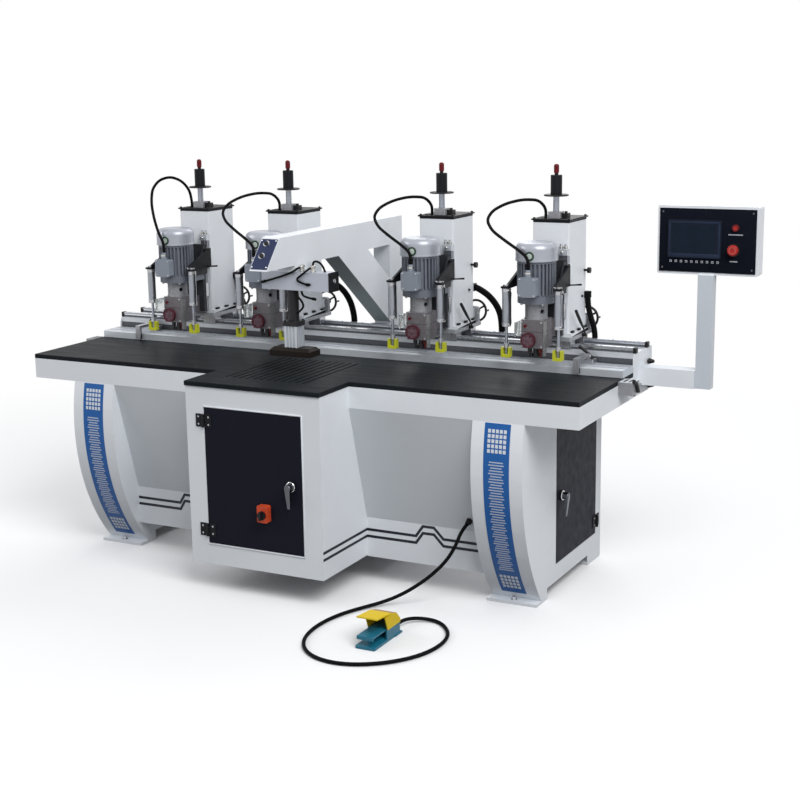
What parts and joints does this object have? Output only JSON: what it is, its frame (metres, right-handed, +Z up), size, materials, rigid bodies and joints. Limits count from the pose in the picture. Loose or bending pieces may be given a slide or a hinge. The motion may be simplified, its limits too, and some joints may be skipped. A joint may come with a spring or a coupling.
{
  "type": "hinge boring machine",
  "caption": "Floor-standing woodworking machine with boring heads on rails over a black T-shaped table, a press arm, a control panel and a foot pedal.",
  "frame": {"origin": "on the floor, in the middle of the four anchor holes", "axes": "+X along the table to the control panel, +Y to the back, +Z up"},
  "size_m": [3.009, 1.6873, 1.654],
  "materials": {
    "white_paint": "smooth powder coat",
    "black_paint": "fine textured powder coat",
    "black_board": "semi-gloss phenolic board",
    "profile": "brushed anodised",
    "steel": "ground",
    "grey_casting": "painted casting",
    "motor_grey": "satin paint",
    "saddle_grey": "machined and painted",
    "black_rubber": "matte",
    "tool_steel": "blackened and ground",
    "red_tool": "coated",
    "yellow_foot": "moulded",
    "black_cast": "satin",
    "chrome": "polished",
    "black_plastic": "moulded",
    "red_plastic": "moulded",
    "pad_brown": "moulded",
    "pedal_blue": "hammered enamel"
  },
  "bodies": {
    "base": {"base_frame": "white_paint", "table_top": "black_board", "fence": "profile", "rail_beam": "steel", "press_arm": "white_paint", "control_panel": "white_paint", "pedal_body": "pedal_blue", "pedal_cord": "black_rubber"},
    "center_door": {"center_door": "black_paint"},
    "center_door_handle": {"center_door_handle": "chrome"},
    "main_switch_knob": {"main_switch_knob": "black_plastic"},
    "side_door": {"side_door": "black_paint"},
    "side_door_handle": {"side_door_handle": "chrome"},
    "flip_stop_left": {"flip_stop_left": "black_cast"},
    "flip_stop_right": {"flip_stop_right": "black_cast"},
    "press_ram": {"press_ram": "pad_brown"},
    "arm_button_low": {"arm_button_low": "black_plastic"},
    "arm_button_high": {"arm_button_high": "black_plastic"},
    "stop_button": {"stop_button": "red_plastic"},
    "pedal_treadle": {"pedal_treadle": "pedal_blue"},
    "saddle_1": {"saddle_1": "saddle_grey"},
    "column_1": {"column_1": "white_paint"},
    "handwheel_1": {"handwheel_1": "black_cast"},
    "feed_1": {"drill_head_1": "grey_casting", "motor_1": "motor_grey", "motor_cable_1": "black_rubber"},
    "hinge_cutter_1": {"hinge_cutter_1": "tool_steel"},
    "left_drill_1": {"left_drill_1": "red_tool"},
    "right_drill_1": {"right_drill_1": "red_tool"},
    "clamp_feet_1": {"clamp_feet_1": "yellow_foot"},
    "saddle_2": {"saddle_2": "saddle_grey"},
    "column_2": {"column_2": "white_paint"},
    "handwheel_2": {"handwheel_2": "black_cast"},
    "feed_2": {"drill_head_2": "grey_casting", "motor_2": "motor_grey", "motor_cable_2": "black_rubber"},
    "hinge_cutter_2": {"hinge_cutter_2": "tool_steel"},
    "left_drill_2": {"left_drill_2": "red_tool"},
    "right_drill_2": {"right_drill_2": "red_tool"},
    "clamp_feet_2": {"clamp_feet_2": "yellow_foot"},
    "saddle_3": {"saddle_3": "saddle_grey"},
    "column_3": {"column_3": "white_paint"},
    "handwheel_3": {"handwheel_3": "black_cast"},
    "feed_3": {"drill_head_3": "grey_casting", "motor_3": "motor_grey", "motor_cable_3": "black_rubber"},
    "hinge_cutter_3": {"hinge_cutter_3": "tool_steel"},
    "left_drill_3": {"left_drill_3": "red_tool"},
    "right_drill_3": {"right_drill_3": "red_tool"},
    "clamp_feet_3": {"clamp_feet_3": "yellow_foot"},
    "saddle_4": {"saddle_4": "saddle_grey"},
    "column_4": {"column_4": "white_paint"},
    "handwheel_4": {"handwheel_4": "black_cast"},
    "feed_4": {"drill_head_4": "grey_casting", "motor_4": "motor_grey", "motor_cable_4": "black_rubber"},
    "hinge_cutter_4": {"hinge_cutter_4": "tool_steel"},
    "left_drill_4": {"left_drill_4": "red_tool"},
    "right_drill_4": {"right_drill_4": "red_tool"},
    "clamp_feet_4": {"clamp_feet_4": "yellow_foot"}
  },
  "joints": [
    {"name": "saddle_1_travel", "type": "slide", "parent": "base", "child": "saddle_1", "axis": [1, 0, 0], "range_m": [-0.09, 0.06]},
    {"name": "column_1_margin", "type": "slide", "parent": "saddle_1", "child": "column_1", "axis": [0, 1, 0], "range_m": [-0.01, 0.004]},
    {"name": "handwheel_1_turn", "type": "hinge", "parent": "saddle_1", "child": "handwheel_1", "pos_m": [-0.745, 0.374, 1.014], "axis": [0, 1, 0], "range_deg": [-360, 144]},
    {"name": "feed_1_stroke", "type": "slide", "parent": "column_1", "child": "feed_1", "axis": [0, 0, -1], "range_m": [0, 0.058]},
    {"name": "hinge_cutter_1_spin", "type": "hinge", "parent": "feed_1", "child": "hinge_cutter_1", "pos_m": [-0.807, -0.035, 0.93], "axis": [0, 0, 1], "continuous": true},
    {"name": "left_drill_1_spin", "type": "hinge", "parent": "feed_1", "child": "left_drill_1", "pos_m": [-0.8295, -0.0445, 0.93], "axis": [0, 0, 1], "continuous": true},
    {"name": "right_drill_1_spin", "type": "hinge", "parent": "feed_1", "child": "right_drill_1", "pos_m": [-0.7845, -0.0445, 0.93], "axis": [0, 0, 1], "continuous": true},
    {"name": "clamp_feet_1_stroke", "type": "slide", "parent": "column_1", "child": "clamp_feet_1", "axis": [0, 0, -1], "range_m": [0, 0.045], "stiffness_N_per_m": 600, "springref_m": -0.03},
    {"name": "saddle_2_travel", "type": "slide", "parent": "base", "child": "saddle_2", "axis": [1, 0, 0], "range_m": [-0.06, 0.06]},
    {"name": "column_2_margin", "type": "slide", "parent": "saddle_2", "child": "column_2", "axis": [0, 1, 0], "range_m": [-0.01, 0.004]},
    {"name": "handwheel_2_turn", "type": "hinge", "parent": "saddle_2", "child": "handwheel_2", "pos_m": [-0.282, 0.374, 1.014], "axis": [0, 1, 0], "range_deg": [-360, 144]},
    {"name": "feed_2_stroke", "type": "slide", "parent": "column_2", "child": "feed_2", "axis": [0, 0, -1], "range_m": [0, 0.058]},
    {"name": "hinge_cutter_2_spin", "type": "hinge", "parent": "feed_2", "child": "hinge_cutter_2", "pos_m": [-0.344, -0.035, 0.93], "axis": [0, 0, 1], "continuous": true},
    {"name": "left_drill_2_spin", "type": "hinge", "parent": "feed_2", "child": "left_drill_2", "pos_m": [-0.3665, -0.0445, 0.93], "axis": [0, 0, 1], "continuous": true},
    {"name": "right_drill_2_spin", "type": "hinge", "parent": "feed_2", "child": "right_drill_2", "pos_m": [-0.3215, -0.0445, 0.93], "axis": [0, 0, 1], "continuous": true},
    {"name": "clamp_feet_2_stroke", "type": "slide", "parent": "column_2", "child": "clamp_feet_2", "axis": [0, 0, -1], "range_m": [0, 0.045], "stiffness_N_per_m": 600, "springref_m": -0.03},
    {"name": "saddle_3_travel", "type": "slide", "parent": "base", "child": "saddle_3", "axis": [1, 0, 0], "range_m": [-0.09, 0.08]},
    {"name": "column_3_margin", "type": "slide", "parent": "saddle_3", "child": "column_3", "axis": [0, 1, 0], "range_m": [-0.01, 0.004]},
    {"name": "handwheel_3_turn", "type": "hinge", "parent": "saddle_3", "child": "handwheel_3", "pos_m": [0.457, 0.374, 1.014], "axis": [0, 1, 0], "range_deg": [-360, 144]},
    {"name": "feed_3_stroke", "type": "slide", "parent": "column_3", "child": "feed_3", "axis": [0, 0, -1], "range_m": [0, 0.058]},
    {"name": "hinge_cutter_3_spin", "type": "hinge", "parent": "feed_3", "child": "hinge_cutter_3", "pos_m": [0.395, -0.035, 0.93], "axis": [0, 0, 1], "continuous": true},
    {"name": "left_drill_3_spin", "type": "hinge", "parent": "feed_3", "child": "left_drill_3", "pos_m": [0.3725, -0.0445, 0.93], "axis": [0, 0, 1], "continuous": true},
    {"name": "right_drill_3_spin", "type": "hinge", "parent": "feed_3", "child": "right_drill_3", "pos_m": [0.4175, -0.0445, 0.93], "axis": [0, 0, 1], "continuous": true},
    {"name": "clamp_feet_3_stroke", "type": "slide", "parent": "column_3", "child": "clamp_feet_3", "axis": [0, 0, -1], "range_m": [0, 0.045], "stiffness_N_per_m": 600, "springref_m": -0.03},
    {"name": "saddle_4_travel", "type": "slide", "parent": "base", "child": "saddle_4", "axis": [1, 0, 0], "range_m": [-0.08, 0.04]},
    {"name": "column_4_margin", "type": "slide", "parent": "saddle_4", "child": "column_4", "axis": [0, 1, 0], "range_m": [-0.01, 0.004]},
    {"name": "handwheel_4_turn", "type": "hinge", "parent": "saddle_4", "child": "handwheel_4", "pos_m": [0.961, 0.374, 1.014], "axis": [0, 1, 0], "range_deg": [-360, 144]},
    {"name": "feed_4_stroke", "type": "slide", "parent": "column_4", "child": "feed_4", "axis": [0, 0, -1], "range_m": [0, 0.058]},
    {"name": "hinge_cutter_4_spin", "type": "hinge", "parent": "feed_4", "child": "hinge_cutter_4", "pos_m": [0.899, -0.035, 0.93], "axis": [0, 0, 1], "continuous": true},
    {"name": "left_drill_4_spin", "type": "hinge", "parent": "feed_4", "child": "left_drill_4", "pos_m": [0.8765, -0.0445, 0.93], "axis": [0, 0, 1], "continuous": true},
    {"name": "right_drill_4_spin", "type": "hinge", "parent": "feed_4", "child": "right_drill_4", "pos_m": [0.9215, -0.0445, 0.93], "axis": [0, 0, 1], "continuous": true},
    {"name": "clamp_feet_4_stroke", "type": "slide", "parent": "column_4", "child": "clamp_feet_4", "axis": [0, 0, -1], "range_m": [0, 0.045], "stiffness_N_per_m": 600, "springref_m": -0.03},
    {"name": "center_door_swing", "type": "hinge", "parent": "base", "child": "center_door", "pos_m": [-0.221, -0.7225, 0.475], "axis": [0, 0, -1], "range_deg": [0, 110]},
    {"name": "center_door_lock", "type": "hinge", "parent": "center_door", "child": "center_door_handle", "pos_m": [0.171, -0.715, 0.473], "axis": [0, 1, 0], "range_deg": [0, 90]},
    {"name": "main_switch_turn", "type": "hinge", "parent": "center_door", "child": "main_switch_knob", "pos_m": [0.051, -0.715, 0.351], "axis": [0, 1, 0], "range_deg": [0, 90]},
    {"name": "side_door_swing", "type": "hinge", "parent": "base", "child": "side_door", "pos_m": [1.0455, 0.289, 0.41], "axis": [0, 0, 1], "range_deg": [0, 110]},
    {"name": "side_door_lock", "type": "hinge", "parent": "side_door", "child": "side_door_handle", "pos_m": [1.039, -0.115, 0.385], "axis": [1, 0, 0], "range_deg": [0, 90]},
    {"name": "flip_stop_left_tilt", "type": "hinge", "parent": "base", "child": "flip_stop_left", "pos_m": [-1.045, 0.082, 0.909], "axis": [-1, 0, 0], "range_deg": [0, 90]},
    {"name": "flip_stop_right_tilt", "type": "hinge", "parent": "base", "child": "flip_stop_right", "pos_m": [1.062, 0.082, 0.909], "axis": [-1, 0, 0], "range_deg": [0, 90]},
    {"name": "press_stroke", "type": "slide", "parent": "base", "child": "press_ram", "axis": [0, 0, -1], "range_m": [0, 0.06], "stiffness_N_per_m": 1200, "springref_m": -0.03},
    {"name": "arm_button_low_press", "type": "slide", "parent": "base", "child": "arm_button_low", "axis": [0, 0.7661, -0.6427], "range_m": [0, 0.004], "stiffness_N_per_m": 500, "springref_m": -0.004},
    {"name": "arm_button_high_press", "type": "slide", "parent": "base", "child": "arm_button_high", "axis": [0, 0.7661, -0.6427], "range_m": [0, 0.004], "stiffness_N_per_m": 500, "springref_m": -0.004},
    {"name": "stop_button_press", "type": "slide", "parent": "base", "child": "stop_button", "axis": [0, 1, 0], "range_m": [0, 0.006], "stiffness_N_per_m": 900, "springref_m": -0.004},
    {"name": "pedal_press", "type": "hinge", "parent": "base", "child": "pedal_treadle", "pos_m": [0.644, -0.858, 0.034], "axis": [1, 0, 0], "range_deg": [0, 8], "stiffness_Nm_per_rad": 10, "springref_deg": -9.17}
  ],
  "couplings": [
    {"joint": "handwheel_1_turn", "follows": "column_1_margin", "rad_per_m": 628.32},
    {"joint": "left_drill_1_spin", "follows": "hinge_cutter_1_spin", "ratio": -1},
    {"joint": "right_drill_1_spin", "follows": "hinge_cutter_1_spin", "ratio": -1},
    {"joint": "handwheel_2_turn", "follows": "column_2_margin", "rad_per_m": 628.32},
    {"joint": "left_drill_2_spin", "follows": "hinge_cutter_2_spin", "ratio": -1},
    {"joint": "right_drill_2_spin", "follows": "hinge_cutter_2_spin", "ratio": -1},
    {"joint": "handwheel_3_turn", "follows": "column_3_margin", "rad_per_m": 628.32},
    {"joint": "left_drill_3_spin", "follows": "hinge_cutter_3_spin", "ratio": -1},
    {"joint": "right_drill_3_spin", "follows": "hinge_cutter_3_spin", "ratio": -1},
    {"joint": "handwheel_4_turn", "follows": "column_4_margin", "rad_per_m": 628.32},
    {"joint": "left_drill_4_spin", "follows": "hinge_cutter_4_spin", "ratio": -1},
    {"joint": "right_drill_4_spin", "follows": "hinge_cutter_4_spin", "ratio": -1}
  ]
}
